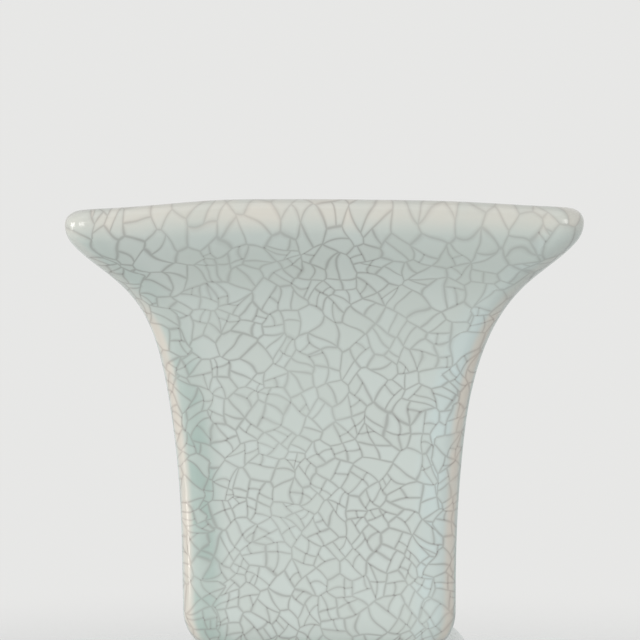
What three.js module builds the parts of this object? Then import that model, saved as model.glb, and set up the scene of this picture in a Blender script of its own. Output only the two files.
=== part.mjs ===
// A square gu vase: flared square mouth, slim neck, drum-shaped middle and spreading foot.
// Every section is built from four mitred clay slabs, and a thick glaze coats the whole.
// Millimetres, +Z up. The axis is Z, the foot stands on z = 0 and the front faces -Y.
import * as THREE from 'three';
import { mergeGeometries, mergeVertices } from 'three/addons/utils/BufferGeometryUtils.js';

// Heights of the three sections, from the table up
const footHeight = 62.5;
const bellyHeight = 36;
const neckHeight = 91.5;

// Finished widths across the flats, over the glaze
const mouthWidth = 100;
const neckWidth = 56.4;
const upperGrooveWidth = 50;
const bellyWidth = 71;
const lowerGrooveWidth = 54;
const footNeckWidth = 59;
const footWidth = 78;

// Vertical corners, outside and inside
const cornerRadius = 4.8;
const innerCornerRadius = 3;

// Curves of the outside, over the glaze
const grooveRadius = 1.8;
const neckBaseHeight = 8.5;
const bellyWidestShare = 0.49;
const footShoulderHeight = 7.5;
const mouthFlareAngle = 38;
const mouthStraightShare = 0.909;
const mouthFlareShare = 0.169;
const footFlareAngle = 36;
const footStraightShare = 0.6;
const footFlareShare = 0.25;
const footBandHeight = 5;
const footBandRadius = 3;

// The lip, whose corners sank a little in the kiln
const lipUndersideRadius = 6.3;
const lipTopRadius = 3;
const mouthInsideShare = 0.62;
const lipTopHandle = 4;
const lipWallHandle = 5;
const cornerSink = 1.7;
const sinkDepth = 28;
const sinkFlatShare = 0.3;

// Clay and glaze
const slabThickness = 3.6;
const floorThickness = 4;
const glazeThickness = 0.8;
const bareFootHeight = 3;
const footChamfer = 0.6;

// Stepped joints, luted with slip
const stepHeight = 2;
const slipClearance = 0.3;
const floorSeatShare = 0.5;

// How finely the curves are cut into flats
const cornerSteps = 2;
const faceSteps = 3;
const flareSteps = 6;
const edgeSteps = 3;
const grooveSteps = 2;
const drumSteps = 3;
const lipTopSteps = 2;
const insideFlareSteps = 3;
const insideGrooveSteps = 1;
const insideDrumSteps = 2;
const insideLipSteps = 4;

const lowerGrooveZ = footHeight;
const upperGrooveZ = footHeight + bellyHeight;
const topZ = upperGrooveZ + neckHeight;
const lipEdgeZ = topZ - lipTopRadius;
const floorUndersideZ = lowerGrooveZ - floorThickness;
const outerClayRadius = cornerRadius - glazeThickness;
const innerClayRadius = innerCornerRadius + glazeThickness;

// A profile point has a half-width w, a height z, and a unit normal (nw, nz) that leaves the vase.
function profilePoint(w, z, nw, nz) {
  return { w, z, nw, nz };
}

// An arc of the profile. The angle is that of the normal, from level, so an upright wall has 0.
// A positive radius bulges out of the vase and a negative one is hollow.
function arc(centreW, centreZ, radius, fromAngle, toAngle, steps) {
  const points = [];
  for (let i = 0; i <= steps; i++) {
    const angle = fromAngle + ((toAngle - fromAngle) * i) / steps;
    const nw = Math.cos(angle);
    const nz = Math.sin(angle);
    points.push(profilePoint(centreW + radius * nw, centreZ + radius * nz, nw, nz));
  }
  return points;
}

// A Bezier curve as profile points. The vase's outside is on the right of the way it runs.
function bezier(curve, steps, share = 1) {
  const points = [];
  for (let i = 0; i <= steps; i++) {
    const place = curve.getPoint((share * i) / steps);
    const along = curve.getTangent((share * i) / steps);
    points.push(profilePoint(place.x, place.y, along.y, -along.x));
  }
  return points;
}

// Two tangent arcs between two upright stretches. The narrow end is a groove and takes the
// small hollow arc; the wide end takes the bulging arc, whose radius follows from the rest.
function ogee(w0, z0, w1, z1, steps) {
  const turn = 2 * Math.atan((w0 - w1) / (z1 - z0));
  const radii = (z1 - z0) / Math.sin(Math.abs(turn));
  const hollow = Math.min(grooveRadius, 0.4 * radii);
  const bulge = radii - hollow;
  if (w0 < w1) {
    return [
      ...arc(w0 + hollow, z0, -hollow, 0, turn, steps.groove),
      ...arc(w1 - bulge, z1, bulge, turn, 0, steps.drum).slice(1),
    ];
  }
  return [
    ...arc(w0 - bulge, z0, bulge, 0, turn, steps.drum),
    ...arc(w1 + hollow, z1, -hollow, turn, 0, steps.groove).slice(1),
  ];
}

// The spreading curve from an upright stretch to an edge, up for the mouth and down for the
// foot, as the Bezier curve alone. It is straightShare of its rise before it starts to turn.
function flareCurve(neckW, neckZ, edgeW, edgeZ, edgeRadius, degrees, straightShare, flareShare) {
  const angle = THREE.MathUtils.degToRad(degrees);
  const up = Math.sign(edgeZ - neckZ);
  const endW = edgeW - edgeRadius * (1 - Math.cos(angle));
  const endZ = edgeZ - up * edgeRadius * Math.sin(angle);
  const rise = Math.abs(endZ - neckZ);
  return new THREE.CubicBezierCurve(
    new THREE.Vector2(neckW, neckZ),
    new THREE.Vector2(neckW, neckZ + up * straightShare * rise),
    new THREE.Vector2(
      endW - flareShare * rise * Math.sin(angle),
      endZ - up * flareShare * rise * Math.cos(angle),
    ),
    new THREE.Vector2(endW, endZ),
  );
}

function reversedCurve(curve) {
  return new THREE.CubicBezierCurve(curve.v3, curve.v2, curve.v1, curve.v0);
}

const mouthCurve = flareCurve(
  neckWidth / 2, upperGrooveZ + neckBaseHeight, mouthWidth / 2, lipEdgeZ,
  lipUndersideRadius, mouthFlareAngle, mouthStraightShare, mouthFlareShare,
);
const footCurve = reversedCurve(flareCurve(
  footNeckWidth / 2, lowerGrooveZ - footShoulderHeight, footWidth / 2, footBandHeight,
  footBandRadius, footFlareAngle, footStraightShare, footFlareShare,
));

// The wall between the foot's edge and the mouth's edge, from the bottom up. mouthShare is how
// much of the mouth's curve it takes in.
function wallProfile(steps, mouthShare = 1) {
  const bellyWidestZ = lowerGrooveZ + bellyWidestShare * bellyHeight;
  const footNeck = [footNeckWidth / 2, lowerGrooveZ - footShoulderHeight];
  const lowerGroove = [lowerGrooveWidth / 2, lowerGrooveZ];
  const drum = [bellyWidth / 2, bellyWidestZ];
  const upperGroove = [upperGrooveWidth / 2, upperGrooveZ];
  const neckBase = [neckWidth / 2, upperGrooveZ + neckBaseHeight];
  return [
    ...bezier(footCurve, steps.flare),
    ...ogee(...footNeck, ...lowerGroove, steps).slice(1),
    ...ogee(...lowerGroove, ...drum, steps).slice(1),
    ...ogee(...drum, ...upperGroove, steps).slice(1),
    ...ogee(...upperGroove, ...neckBase, steps).slice(1),
    ...bezier(mouthCurve, steps.flare, mouthShare).slice(1),
  ];
}

// Moves profile points along their normals, and sets the corner radius they have in plan
function moved(points, distance, radius) {
  return points.map((p) => ({
    ...p, w: p.w + distance * p.nw, z: p.z + distance * p.nz, radius,
  }));
}

// Adds a point at an exact height to points whose heights run one way
function withHeight(points, height) {
  const after = points.findIndex(
    (p, i) => i > 0 && (p.z - height) * (points[i - 1].z - height) < -1e-9,
  );
  if (after < 0) return points;
  const [a, b] = [points[after - 1], points[after]];
  const share = (height - a.z) / (b.z - a.z);
  const between = {};
  for (const key of Object.keys(a)) between[key] = a[key] + share * (b[key] - a[key]);
  between.z = height;
  return [...points.slice(0, after), between, ...points.slice(after)];
}

function heightsFrom(points, low, high) {
  return points.filter((p) => p.z > low - 1e-6 && p.z < high + 1e-6);
}

// Outside of the clay, from the foot ring to the top of the lip
function clayOutside() {
  const footHalf = footWidth / 2;
  const mouthHalf = mouthWidth / 2;
  const footTurn = THREE.MathUtils.degToRad(footFlareAngle);
  const mouthTurn = THREE.MathUtils.degToRad(mouthFlareAngle);
  const steps = { flare: flareSteps, groove: grooveSteps, drum: drumSteps };
  const undersideW = mouthHalf - lipUndersideRadius;
  const finished = [
    profilePoint(footHalf, footChamfer, 1, 0),
    ...arc(footHalf - footBandRadius, footBandHeight, footBandRadius, 0, footTurn, edgeSteps),
    ...wallProfile(steps).slice(1),
    ...arc(undersideW, lipEdgeZ, lipUndersideRadius, -mouthTurn, 0, edgeSteps).slice(1),
    ...arc(mouthHalf - lipTopRadius, lipEdgeZ, lipTopRadius, 0, Math.PI / 2, lipTopSteps).slice(1),
  ];
  return withHeight(moved(finished, -glazeThickness, outerClayRadius), bareFootHeight);
}

// Inside of the clay, from just behind the top of the lip down to the foot ring. The lip rounds
// over into the mouth and meets the wall's own slope part of the way down.
function clayInside() {
  const steps = { flare: insideFlareSteps, groove: insideGrooveSteps, drum: insideDrumSteps };
  const depth = glazeThickness + slabThickness;
  const wall = moved(wallProfile(steps, mouthInsideShare), -depth, innerClayRadius)
    .map((p) => ({ ...p, nw: -p.nw, nz: -p.nz }))
    .reverse();
  const [{ w, z, nw, nz }] = wall;
  const lipTopW = mouthWidth / 2 - lipTopRadius;
  const lipTopZ = topZ - glazeThickness;
  const lip = bezier(new THREE.CubicBezierCurve(
    new THREE.Vector2(lipTopW, lipTopZ),
    new THREE.Vector2(lipTopW - lipTopHandle, lipTopZ),
    new THREE.Vector2(w + lipWallHandle * nz, z - lipWallHandle * nw),
    new THREE.Vector2(w, z),
  ), insideLipSteps);
  const shaped = lip.map((p, i) => ({
    ...p,
    radius: THREE.MathUtils.lerp(outerClayRadius, innerClayRadius, i / insideLipSteps),
  }));
  const bottom = { ...wall.at(-1), z: footChamfer, nw: -1, nz: 0 };
  let points = [...shaped.slice(1, -1), ...wall, bottom];
  const splits = [upperGrooveZ + stepHeight, upperGrooveZ + stepHeight + slipClearance];
  for (const height of [...splits, floorUndersideZ, bareFootHeight]) {
    points = withHeight(points, height);
  }
  return points;
}

const outside = clayOutside();
const inside = clayInside();

// The glaze's own surface over a stretch of clay
function glazed(points) {
  return points.map((p) => ({
    ...p,
    w: p.w + glazeThickness * p.nw,
    z: p.z + glazeThickness * p.nz,
    radius: p.radius - glazeThickness * p.nw,
  }));
}

// How far the lip's corners sank: nothing at mid-face and all of it on the mitre
function sinkAt(x, y, z) {
  const wide = Math.max(Math.abs(x), Math.abs(y));
  if (wide === 0) return 0;
  const towardsCorner = Math.min(Math.abs(x), Math.abs(y)) / wide;
  const across = THREE.MathUtils.smoothstep(towardsCorner, sinkFlatShare, 1);
  return cornerSink * across * THREE.MathUtils.smoothstep(z, lipEdgeZ - sinkDepth, lipEdgeZ);
}

// The front quarter of a rounded square, from mitre to mitre, left to right
function quarterRing({ w, z, radius }) {
  const centre = Math.max(w - radius, 0);
  const bend = w - centre;
  const plan = [];
  for (let i = 0; i <= cornerSteps; i++) {
    const angle = (Math.PI / 4) * (5 + i / cornerSteps);
    plan.push([-centre + bend * Math.cos(angle), -centre + bend * Math.sin(angle)]);
  }
  for (let i = 1; i < faceSteps; i++) plan.push([centre * ((2 * i) / faceSteps - 1), -w]);
  const left = plan.slice(0, cornerSteps + 1).reverse();
  for (const [x, y] of left) plan.push([-x, y]);
  return plan.map(([x, y]) => new THREE.Vector3(x, y, z - sinkAt(x, y, z)));
}

function pushTriangle(positions, a, b, c) {
  if (a.equals(b) || b.equals(c) || c.equals(a)) return;
  positions.push(...a.toArray(), ...b.toArray(), ...c.toArray());
}

// Skins the strips between neighbouring rings. Each four-sided patch is split from its lower
// left to its upper right, so clay and glaze that share a surface share every triangle of it.
function skin(positions, rings, closed) {
  const strips = closed ? rings.length : rings.length - 1;
  for (let i = 0; i < strips; i++) {
    const here = rings[i];
    const next = rings[(i + 1) % rings.length];
    const rising = next[0].z >= here[0].z;
    for (let j = 0; j + 1 < here.length; j++) {
      if (rising) {
        pushTriangle(positions, here[j], here[j + 1], next[j + 1]);
        pushTriangle(positions, here[j], next[j + 1], next[j]);
      } else {
        pushTriangle(positions, here[j], here[j + 1], next[j]);
        pushTriangle(positions, here[j + 1], next[j + 1], next[j]);
      }
    }
  }
}

function geometryOf(positions) {
  const geometry = new THREE.BufferGeometry();
  geometry.setAttribute('position', new THREE.Float32BufferAttribute(positions, 3));
  return geometry;
}

function finishedGeometry(geometry) {
  const merged = mergeVertices(geometry, 1e-4);
  merged.computeVertexNormals();
  return merged;
}

// One slab of a section: its closed outline is carried across the face, and cut by two mitres
function slabGeometry(outline) {
  const rings = outline.map(quarterRing);
  const positions = [];
  skin(positions, rings, true);
  for (const [end, sign] of [[0, 1], [rings[0].length - 1, -1]]) {
    const cut = rings.map((ring) => ring[end]);
    const flat = cut.map((p) => new THREE.Vector2(Math.hypot(p.x, p.y), p.z));
    for (const [a, b, c] of THREE.ShapeUtils.triangulateShape(flat, [])) {
      pushTriangle(positions, cut[a], cut[sign > 0 ? b : c], cut[sign > 0 ? c : b]);
    }
  }
  return finishedGeometry(geometryOf(positions));
}

// A coat that closes on the axis at both ends of its path, from four quarters
function coatGeometry(path) {
  const positions = [];
  skin(positions, path.map(quarterRing), false);
  const quarter = geometryOf(positions);
  const quarters = [0, 1, 2, 3].map((k) => quarter.clone().rotateZ((k * Math.PI) / 2));
  return finishedGeometry(mergeGeometries(quarters));
}

const onAxis = (z) => ({ w: 0, z, radius: 0 });
const lastOf = (points) => points.at(-1);

// Middle of the wall, where the stepped joints and the floor's seat are cut
function wallShare(outer, inner, share, z) {
  return {
    w: THREE.MathUtils.lerp(outer.w, inner.w, share),
    z,
    radius: THREE.MathUtils.lerp(outer.radius, inner.radius, share),
  };
}

const widened = (p, distance) => ({ ...p, w: p.w + distance });

// Neck slab: its lower edge is rebated inside, over the belly's upstand
function neckOutline() {
  const outer = heightsFrom(outside, upperGrooveZ, topZ);
  const roofZ = upperGrooveZ + stepHeight + slipClearance;
  const inner = heightsFrom(inside, roofZ, topZ);
  const step = widened(wallShare(outer[0], lastOf(inner), 0.5, roofZ), slipClearance / 2);
  return [...outer, ...inner, step, { ...step, z: upperGrooveZ }];
}

// Belly slab: a square lower edge on the foot and the floor, an upstand inside the neck
function bellyOutline() {
  const outer = heightsFrom(outside, lowerGrooveZ, upperGrooveZ);
  const upstandZ = upperGrooveZ + stepHeight;
  const inner = heightsFrom(inside, lowerGrooveZ, upstandZ);
  const neckInner = lastOf(heightsFrom(inside, upstandZ + slipClearance, topZ));
  const step = widened(wallShare(lastOf(outer), neckInner, 0.5, upperGrooveZ), -slipClearance / 2);
  return [...outer, step, { ...step, z: upstandZ }, ...inner];
}

// The floor's edge sits in a rebate in the top of the foot, under the belly
const floorEdge = wallShare(
  heightsFrom(outside, lowerGrooveZ, lowerGrooveZ)[0],
  heightsFrom(inside, lowerGrooveZ, lowerGrooveZ)[0],
  floorSeatShare, lowerGrooveZ,
);

// Foot slab: a bare chamfered ring below, the floor's ledge above
function footOutline() {
  const outer = heightsFrom(outside, 0, lowerGrooveZ);
  const inner = heightsFrom(inside, 0, floorUndersideZ);
  const rebate = widened(floorEdge, slipClearance);
  return [
    ...outer,
    rebate, { ...rebate, z: floorUndersideZ },
    ...inner,
    { ...widened(lastOf(inner), footChamfer), z: 0 },
    { ...widened(outer[0], -footChamfer), z: 0 },
  ];
}

function floorGeometry() {
  const { w, radius } = floorEdge;
  const centre = w - radius;
  const plate = new THREE.Shape();
  plate.absarc(centre, -centre, radius, -Math.PI / 2, 0, false);
  plate.absarc(centre, centre, radius, 0, Math.PI / 2, false);
  plate.absarc(-centre, centre, radius, Math.PI / 2, Math.PI, false);
  plate.absarc(-centre, -centre, radius, Math.PI, 1.5 * Math.PI, false);
  const solid = new THREE.ExtrudeGeometry(plate, {
    depth: floorThickness, bevelEnabled: false, curveSegments: 2 * cornerSteps,
  });
  solid.translate(0, 0, floorUndersideZ);
  solid.deleteAttribute('normal');
  solid.deleteAttribute('uv');
  return finishedGeometry(solid);
}

// One coat runs up the outside, over the lip, down the inside and across the floor
function glazeCoatPath() {
  const outer = heightsFrom(outside, bareFootHeight, topZ);
  const inner = heightsFrom(inside, lowerGrooveZ, topZ);
  const corner = lastOf(inner);
  return [
    onAxis(lowerGrooveZ),
    ...[...outer, ...inner].reverse(),
    ...glazed([...outer, ...inner.slice(0, -1)]),
    {
      w: corner.w - glazeThickness,
      z: lowerGrooveZ + glazeThickness,
      radius: innerCornerRadius,
    },
    onAxis(lowerGrooveZ + glazeThickness),
  ];
}

// A second coat covers the hollow of the foot, and stops short of the ring it stands on
function undersideGlazePath() {
  const wall = heightsFrom(inside, bareFootHeight, floorUndersideZ);
  const coated = glazed(wall);
  coated[0] = { ...coated[0], w: wall[0].w - glazeThickness, z: floorUndersideZ - glazeThickness };
  return [
    onAxis(floorUndersideZ - glazeThickness),
    ...coated,
    ...[...wall].reverse(),
    onAxis(floorUndersideZ),
  ];
}

const clayMaterial = (name) => new THREE.MeshStandardMaterial({
  name, color: 0xc9ab8f, roughness: 0.85, metalness: 0,
});
const glazeMaterial = (name) => new THREE.MeshStandardMaterial({
  name, color: 0xc5ccc8, roughness: 0.15, metalness: 0,
});

function part(name, geometry, material) {
  const mesh = new THREE.Mesh(geometry, material);
  mesh.name = name;
  return mesh;
}

// The same slab stands on each of the four sides
function fourWalls(section, outline) {
  const group = new THREE.Group();
  const geometry = slabGeometry(outline);
  ['front', 'right', 'back', 'left'].forEach((side, k) => {
    const wall = part(`${section}_wall_${side}`, geometry, clayMaterial(`${section} clay`));
    wall.rotation.z = (k * Math.PI) / 2;
    group.add(wall);
  });
  return group;
}

const vase = new THREE.Group();
vase.add(fourWalls('foot', footOutline()));
vase.add(part('floor_slab', floorGeometry(), clayMaterial('floor clay')));
vase.add(fourWalls('belly', bellyOutline()));
vase.add(fourWalls('neck', neckOutline()));
vase.add(part('glaze_coat', coatGeometry(glazeCoatPath()), glazeMaterial('crackled glaze')));
vase.add(part('underside_glaze', coatGeometry(undersideGlazePath()), glazeMaterial('foot glaze')));

export default vase;
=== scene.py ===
import math

import bpy
import numpy as np
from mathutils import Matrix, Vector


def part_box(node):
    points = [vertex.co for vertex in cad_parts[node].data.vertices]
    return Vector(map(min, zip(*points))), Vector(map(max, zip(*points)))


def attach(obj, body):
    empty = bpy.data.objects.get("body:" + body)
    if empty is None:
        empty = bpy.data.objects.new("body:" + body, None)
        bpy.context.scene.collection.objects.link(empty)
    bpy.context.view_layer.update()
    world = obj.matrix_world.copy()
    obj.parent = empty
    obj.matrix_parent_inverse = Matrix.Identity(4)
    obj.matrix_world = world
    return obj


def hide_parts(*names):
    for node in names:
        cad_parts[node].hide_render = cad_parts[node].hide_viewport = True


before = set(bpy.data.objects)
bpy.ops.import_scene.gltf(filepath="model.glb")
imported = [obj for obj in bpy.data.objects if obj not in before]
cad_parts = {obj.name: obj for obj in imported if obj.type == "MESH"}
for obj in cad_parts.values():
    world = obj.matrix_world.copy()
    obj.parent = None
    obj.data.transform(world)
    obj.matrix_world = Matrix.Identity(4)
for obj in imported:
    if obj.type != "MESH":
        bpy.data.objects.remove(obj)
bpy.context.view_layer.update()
scene = bpy.context.scene
scene.view_settings.view_transform = "Standard"
MM = 0.001

# The camera stands level with the upper neck, a forearm's length in front and a little to the
# right of the vase, and looks straight at its axis.
CAMERA_DISTANCE = 346 * MM
CAMERA_BELOW_LIP = 23.2 * MM
CAMERA_AZIMUTH = math.radians(2.5)
CAMERA_STEP_LEFT = 0.8 * MM
CAMERA_LENS = 87.8
CAMERA_SENSOR = 36
CAMERA_NEAREST = 10 * MM
vase_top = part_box("glaze_coat")[1][2]
camera = bpy.data.objects.new("camera", bpy.data.cameras.new("camera"))
camera.data.lens = CAMERA_LENS
camera.data.sensor_width = CAMERA_SENSOR
camera.data.clip_start = CAMERA_NEAREST
camera.location = (
    CAMERA_DISTANCE * math.sin(CAMERA_AZIMUTH) - CAMERA_STEP_LEFT,
    -CAMERA_DISTANCE * math.cos(CAMERA_AZIMUTH),
    vase_top - CAMERA_BELOW_LIP,
)
camera.rotation_euler = (math.radians(90), 0, CAMERA_AZIMUTH)
scene.collection.objects.link(camera)
scene.camera = camera


# The room is plain: a pale floor that fades into a pale world, which the camera and reflections
# see as it is, while the vase gets a softer fill from it.
WORLD_SEEN = (0.80, 0.80, 0.79, 1)
WORLD_FILL = (0.80, 0.83, 0.86, 1)
WORLD_FILL_STRENGTH = 0.5
FLOOR_RADIUS = 1.6
FLOOR_FADE = (0.22, 0.64)
FLOOR_COLOUR = (0.74, 0.74, 0.73, 1)
FLOOR_ROUGHNESS = 0.6
LAMP_AIM = np.array([0, 0, 0.13])


def add_node(tree, kind, inputs=None, **settings):
    """Adds a shader node with its settings, and gives each named or numbered input a value or link."""
    node = tree.nodes.new(kind)
    for key, value in settings.items():
        setattr(node, key, value)
    for key, value in (inputs or {}).items():
        socket = node.inputs[key]
        if isinstance(value, bpy.types.NodeSocket):
            tree.links.new(value, socket)
        else:
            socket.default_value = value
    return node


def new_material(name):
    """Makes a material with an empty tree, and gives the material and its tree."""
    material = bpy.data.materials.new(name)
    material.use_nodes = True
    material.node_tree.nodes.clear()
    return material, material.node_tree


def math_node(tree, operation, first, second=0.0, clamp=False):
    """One sum, product or other operation of two values."""
    node = add_node(tree, "ShaderNodeMath", {0: first, 1: second}, operation=operation, use_clamp=clamp)
    return node.outputs[0]


def ramp(tree, value, low, high, at_low, at_high, kind="SMOOTHSTEP"):
    """A value that runs from one level to another between two marks, and stays level beyond them."""
    return add_node(tree, "ShaderNodeMapRange", {
        "Value": value, "From Min": low, "From Max": high, "To Min": at_low, "To Max": at_high,
    }, interpolation_type=kind).outputs[0]


def build_world():
    """Two backgrounds: what the camera and reflections see, and the softer fill for all else."""
    world = bpy.data.worlds.new("studio")
    world.use_nodes = True
    tree = world.node_tree
    tree.nodes.clear()
    rays = add_node(tree, "ShaderNodeLightPath").outputs
    seen = math_node(tree, "MAXIMUM", rays["Is Camera Ray"], rays["Is Glossy Ray"])
    seen = math_node(tree, "MAXIMUM", seen, rays["Is Transmission Ray"])
    fill = add_node(tree, "ShaderNodeBackground", {"Color": WORLD_FILL, "Strength": WORLD_FILL_STRENGTH})
    view = add_node(tree, "ShaderNodeBackground", {"Color": WORLD_SEEN, "Strength": 1.0})
    mix = add_node(tree, "ShaderNodeMixShader", {0: seen, 1: fill.outputs[0], 2: view.outputs[0]})
    add_node(tree, "ShaderNodeOutputWorld", {"Surface": mix.outputs[0]})
    scene.world = world


def build_floor():
    """A pale disc whose alpha falls from 1 to 0 with the distance from the vase."""
    bpy.ops.mesh.primitive_circle_add(vertices=96, radius=FLOOR_RADIUS, fill_type="NGON")
    floor = bpy.context.object
    floor.name = "floor"
    material, tree = new_material("pale floor")
    place = add_node(tree, "ShaderNodeTexCoord").outputs["Object"]
    reach = add_node(tree, "ShaderNodeVectorMath", {0: place}, operation="LENGTH").outputs["Value"]
    surface = add_node(tree, "ShaderNodeBsdfPrincipled", {
        "Base Color": FLOOR_COLOUR, "Roughness": FLOOR_ROUGHNESS,
        "Alpha": ramp(tree, reach, *FLOOR_FADE, 1.0, 0.0),
    })
    add_node(tree, "ShaderNodeOutputMaterial", {"Surface": surface.outputs[0]})
    floor.data.materials.append(material)


def add_softbox(name, size, power, place, colour, unseen_by=()):
    """A rectangular lamp that faces the aim, in watts and metres. Rays in unseen_by pass it.

    It turns by the bearing of the line from the aim to the lamp, and tilts by its angle from up."""
    lamp = bpy.data.objects.new(name, bpy.data.lights.new(name, "AREA"))
    lamp.data.shape = "RECTANGLE"
    lamp.data.size, lamp.data.size_y = size
    lamp.data.energy = power
    lamp.data.color = colour
    lamp.location = place
    away = np.array(place) - LAMP_AIM
    turn = math.atan2(away[0], -away[1])
    tilt = math.atan2(math.hypot(away[0], away[1]), away[2])
    lamp.rotation_euler = (tilt, 0, turn)
    for rays in ("camera", *unseen_by):
        setattr(lamp, f"visible_{rays}", False)
    scene.collection.objects.link(lamp)


build_world()
build_floor()
# Each lamp's name, width and height, power, place, colour and the rays that pass it.
add_softbox("window", (0.546, 0.49), 4.2, (-0.624, -1.118, 0.25), (1.0, 0.985, 0.96))
add_softbox("side strip", (0.4, 0.3), 3.2, (-0.976, -0.272, 0.242), (1.0, 0.98, 0.945))
add_softbox("side lamp", (0.1, 0.08), 0.22, (-0.63, -0.11, 0.04), (1.0, 0.97, 0.92), ("diffuse",))
add_softbox("right fill", (0.52, 0.52), 4.4, (0.65, -1.196, 0.286), (1.0, 0.985, 0.955))
add_softbox("overhead", (0.9, 0.7), 1.3, (-0.1, -0.35, 0.95), (0.98, 1.0, 1.0))
add_softbox("back fill", (1.2, 0.9), 4.5, (0.6, 0.9, 0.75), (0.98, 1.0, 1.0), ("glossy",))


# Foot walls: four slabs of pinkish buff stoneware, mitred at the corners and luted with slip.
# They spread like a small trumpet, stand on a bare rounded ring, and carry the floor in a rebate.
FOOT_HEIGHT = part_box("belly_wall_front")[0][2]
FOOT_WIDTH = 78 * MM
FOOT_NECK_WIDTH = 59 * MM
FOOT_SHOULDER_HEIGHT = 7.5 * MM
FOOT_FLARE_DEGREES = 36
FOOT_STRAIGHT_SHARE = 0.6
FOOT_FLARE_SHARE = 0.25
FOOT_BAND_HEIGHT = 5 * MM
FOOT_BAND_RADIUS = 3 * MM
FOOT_RING_ROUNDING = 0.9 * MM
BARE_FOOT_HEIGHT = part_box("glaze_coat")[0][2]
LOWER_GROOVE_WIDTH = 54 * MM
GROOVE_RADIUS = 1.8 * MM
CORNER_RADIUS = 4.8 * MM
INNER_CORNER_RADIUS = 3 * MM
SLAB_THICKNESS = 3.6 * MM
GLAZE_THICKNESS = 0.8 * MM
SLIP_CLEARANCE = 0.3 * MM
CLAY_DEPTH = GLAZE_THICKNESS + SLAB_THICKNESS
FLOOR_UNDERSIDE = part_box("floor_slab")[0][2]
FLOOR_HALF_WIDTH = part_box("floor_slab")[1][0]
SIDES = ("front", "right", "back", "left")
LEFT_MITRE, FACE_ANGLE, RIGHT_MITRE = 1.25 * np.pi, 1.5 * np.pi, 1.75 * np.pi
HALF_CORNER = np.pi / 4
COLUMN_CROWDING = 0.6
SLAB_COLUMNS = (8, 16)
FLARE_STEPS = 28
OGEE_STEPS = 14
BAND_STEPS = 8
RING_STEPS = 6
SHARP_OVER_DEGREES = 40
SAME_HEIGHT = 1e-7


def arc(centre_w, centre_z, radius, start, end, steps):
    """Profile points on a circle: the centre plus radius times the normal, whose angle turns evenly.

    A row is half-width, height and the normal's two parts; a negative radius makes a hollow."""
    angle = np.linspace(start, end, steps + 1)[:, None]
    normal = np.hstack([np.cos(angle), np.sin(angle)])
    return np.hstack([np.array([centre_w, centre_z]) + radius * normal, normal])


def bezier(points, steps, share=1):
    """Profile points on a cubic curve: the four points weighted by the powers of t and 1 - t.

    The normal is the curve's direction turned a quarter to the right. A share under 1 stops early."""
    t = np.linspace(0, share, steps + 1)[:, None]
    a, b, c, d = (np.array(p, float) for p in points)
    place = (1 - t) ** 3 * a + 3 * (1 - t) ** 2 * t * b + 3 * (1 - t) * t ** 2 * c + t ** 3 * d
    along = 3 * (1 - t) ** 2 * (b - a) + 6 * (1 - t) * t * (c - b) + 3 * t ** 2 * (d - c)
    along /= np.linalg.norm(along, axis=1, keepdims=True)
    return np.hstack([place, along[:, 1:], -along[:, :1]])


def ogee(w0, z0, w1, z1):
    """Two tangent arcs between two upright stretches, the small hollow one at the narrow end.

    Both turn by twice the angle of the chord, so the radii add up to the height over its sine."""
    turn = 2 * math.atan((w0 - w1) / (z1 - z0))
    radii = (z1 - z0) / math.sin(abs(turn))
    bulge = radii - GROOVE_RADIUS
    if w0 < w1:
        hollow = arc(w0 + GROOVE_RADIUS, z0, -GROOVE_RADIUS, 0, turn, OGEE_STEPS // 2)
        return np.vstack([hollow, arc(w1 - bulge, z1, bulge, turn, 0, OGEE_STEPS)[1:]])
    hollow = arc(w1 + GROOVE_RADIUS, z1, -GROOVE_RADIUS, turn, 0, OGEE_STEPS // 2)
    return np.vstack([arc(w0 - bulge, z0, bulge, 0, turn, OGEE_STEPS), hollow[1:]])


def flare(neck, edge, edge_radius, degrees, straight_share, flare_share):
    """The four points of the curve that spreads from an upright neck to the rounding of an edge.

    It ends where the rounding's slope is the flare's angle. Each handle is a share of the rise."""
    angle = math.radians(degrees)
    up = math.copysign(1, edge[1] - neck[1])
    end = (edge[0] - edge_radius * (1 - math.cos(angle)), edge[1] - up * edge_radius * math.sin(angle))
    rise = abs(end[1] - neck[1])
    handle = flare_share * rise
    pull = (end[0] - handle * math.sin(angle), end[1] - up * handle * math.cos(angle))
    return [neck, (neck[0], neck[1] + up * straight_share * rise), pull, end]


foot_neck = (FOOT_NECK_WIDTH / 2, FOOT_HEIGHT - FOOT_SHOULDER_HEIGHT)
foot_curve = flare(
    foot_neck, (FOOT_WIDTH / 2, FOOT_BAND_HEIGHT), FOOT_BAND_RADIUS,
    FOOT_FLARE_DEGREES, FOOT_STRAIGHT_SHARE, FOOT_FLARE_SHARE,
)[::-1]
foot_edge = arc(
    FOOT_WIDTH / 2 - FOOT_BAND_RADIUS, FOOT_BAND_HEIGHT, FOOT_BAND_RADIUS,
    0, math.radians(FOOT_FLARE_DEGREES), BAND_STEPS,
)
foot_profile = np.vstack([
    bezier(foot_curve, FLARE_STEPS), ogee(*foot_neck, LOWER_GROOVE_WIDTH / 2, FOOT_HEIGHT)[1:],
])


def moved(profile, distance):
    """The profile shifted along its normals."""
    return np.hstack([profile[:, :2] + distance * profile[:, 2:4], profile[:, 2:4]])


def with_radius(profile, radius):
    """The profile with the corner radius that its rings have in plan, as a fifth column."""
    radii = np.broadcast_to(np.reshape(radius, (-1, 1)), (len(profile), 1))
    return np.hstack([profile[:, :4], radii])


def inner_wall(profile):
    """The clay's inner side, from the top down, with its normals towards the axis."""
    wall = moved(profile, -CLAY_DEPTH)[::-1]
    wall[:, 2:4] *= -1
    return wall


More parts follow.
